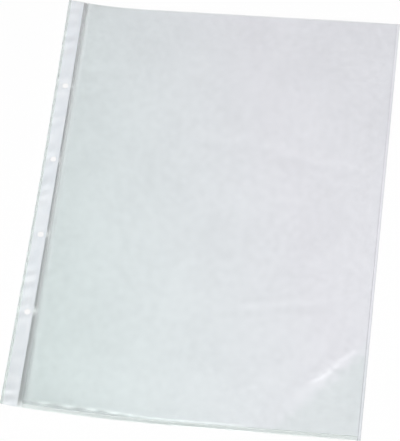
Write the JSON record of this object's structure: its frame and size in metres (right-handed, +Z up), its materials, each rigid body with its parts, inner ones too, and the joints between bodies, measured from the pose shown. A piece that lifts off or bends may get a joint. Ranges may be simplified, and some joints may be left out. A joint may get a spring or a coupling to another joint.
{
  "type": "sheet protector",
  "caption": "Clear film pocket for an upright A3 sheet, open at the top, with a white punched binding strip that flexes along its spine weld.",
  "frame": {"origin": "on the table under the middle of the pocket's outline", "axes": "+X from the binding strip to the side weld, +Y from the bottom weld to the open mouth, +Z up from the table"},
  "size_m": [0.3234, 0.428, 0.0194],
  "materials": {
    "clear_film": "clear polypropylene film, lightly embossed",
    "welded_film": "heat-sealed film, smooth with a knurled weld line",
    "white_tape": "white polypropylene tape, satin"
  },
  "bodies": {
    "pocket": {"back_film": "clear_film", "front_film": "clear_film", "bottom_weld": "welded_film", "side_weld": "welded_film", "spine_weld": "welded_film", "hinge_film": "clear_film"},
    "binding_strip": {"margin_back_ply": "clear_film", "reinforcing_tape": "white_tape", "edge_weld": "welded_film", "margin_front_ply": "clear_film"}
  },
  "joints": [
    {"name": "spine_flex", "type": "hinge", "parent": "pocket", "child": "binding_strip", "pos_m": [-0.1457, 0.00001, 0.01103], "axis": [-0.0015, 0.9998, -0.0214], "range_deg": [-50, 90], "stiffness_Nm_per_rad": 0.02, "deforming": ["hinge_film"]}
  ]
}
